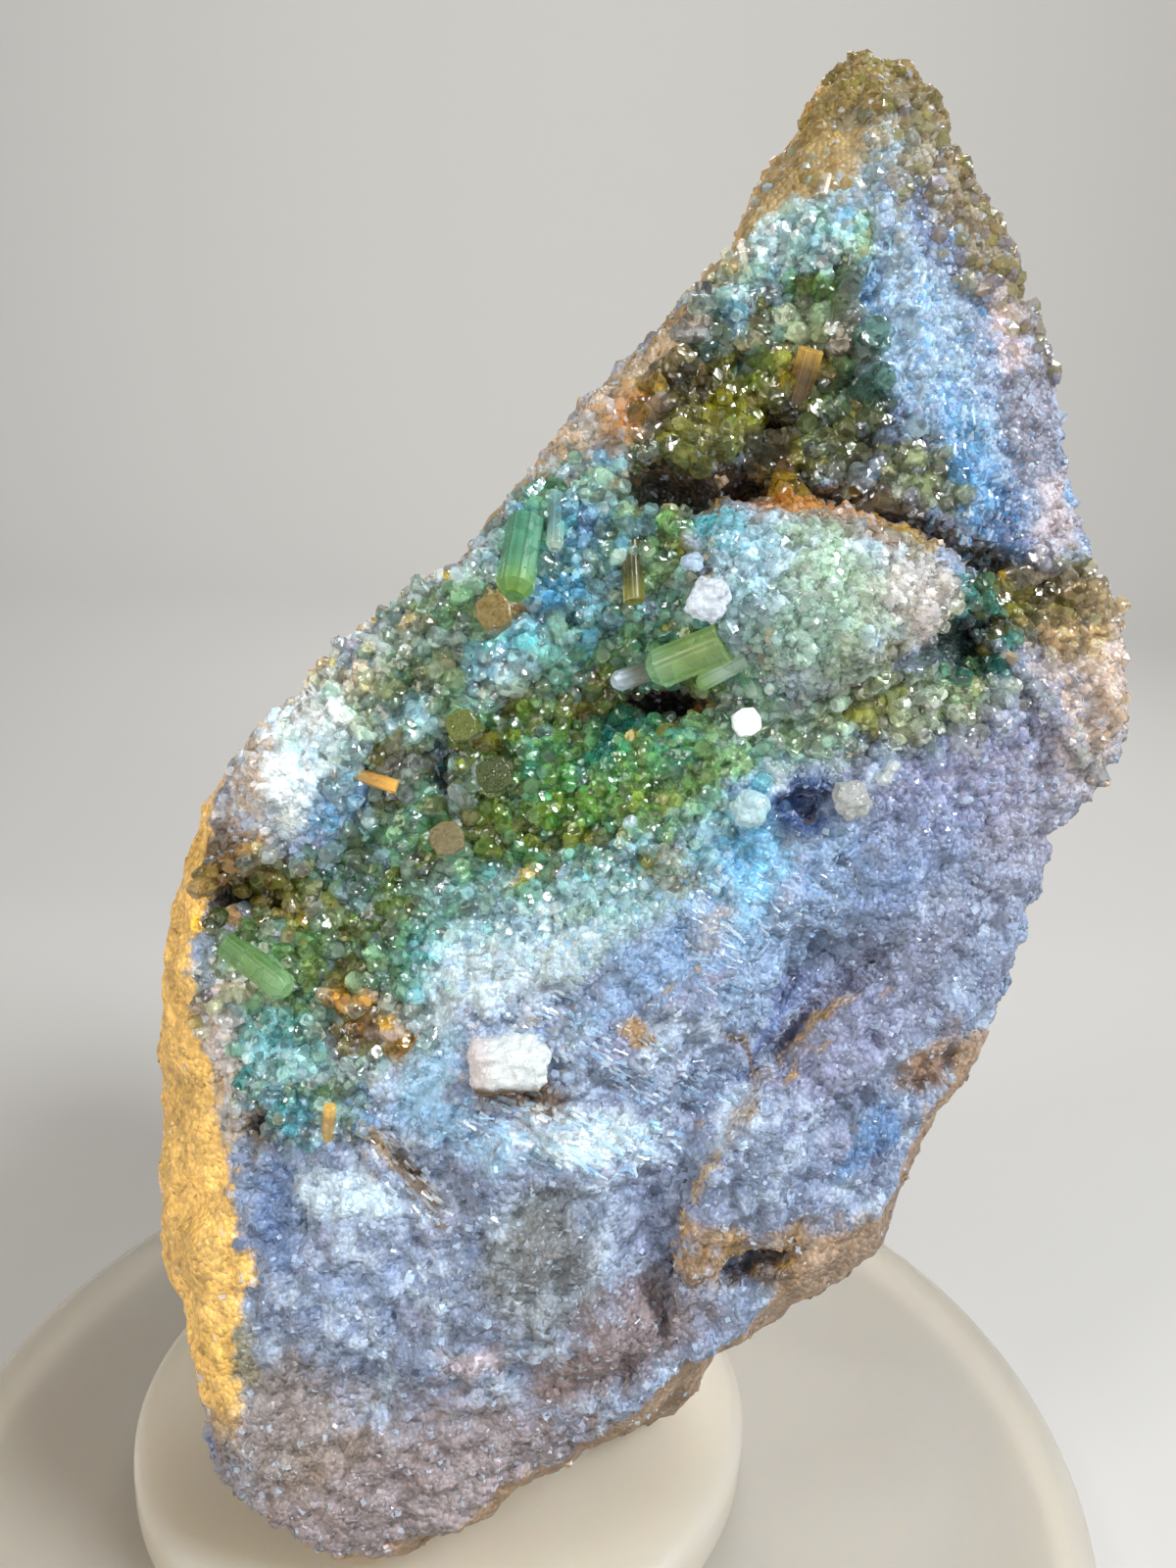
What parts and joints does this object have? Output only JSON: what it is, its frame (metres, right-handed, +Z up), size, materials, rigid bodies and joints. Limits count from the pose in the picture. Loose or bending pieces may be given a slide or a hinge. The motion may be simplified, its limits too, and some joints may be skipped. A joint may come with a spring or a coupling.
{
  "type": "vesuvianite mineral specimen",
  "caption": "Upright leaf-shaped block of pale matrix rock with crusts and single prisms of green vesuvianite, standing on a round frosted disc.",
  "frame": {"origin": "centre of the display disc's underside", "axes": "+Z up; the crystal-bearing front face looks towards -Y and leans back by 12 degrees"},
  "size_m": [0.092, 0.092, 0.1106],
  "materials": {
    "matrix": "sugary, broken",
    "green_crystal": "vitreous, translucent",
    "pale_crystal": "vitreous, translucent",
    "golden_crystal": "vitreous, translucent",
    "brown_crystal": "vitreous, nearly opaque",
    "white_block": "sugary, satin",
    "frosted_disc": "frosted"
  },
  "bodies": {
    "root": {"matrix_rock": "matrix", "druse_upper_hollow": "green_crystal", "druse_middle_band": "green_crystal", "druse_lower_left": "green_crystal", "druse_right_edge": "green_crystal", "prism_upper_left": "green_crystal", "prism_upper_left_companion": "pale_crystal", "prism_yellow_upright": "golden_crystal", "prism_centre": "green_crystal", "prism_centre_small_upper": "green_crystal", "prism_centre_small_lower": "green_crystal", "prism_centre_white": "pale_crystal", "prism_lower_left": "green_crystal", "prism_golden_hollow": "golden_crystal", "prism_golden_middle": "golden_crystal", "prism_golden_low": "golden_crystal", "crystal_brown_upper": "brown_crystal", "crystal_brown_lower": "brown_crystal", "crystal_white_end": "pale_crystal", "crystal_olive_upper": "green_crystal", "crystal_olive_lower": "green_crystal", "white_block_on_pale_rock": "white_block", "white_block_top": "white_block", "white_block_under_left": "white_block", "white_block_under_right": "white_block", "white_block_right": "white_block", "white_block_low": "white_block", "display_disc": "frosted_disc", "riser_disc": "frosted_disc"}
  },
  "joints": []
}
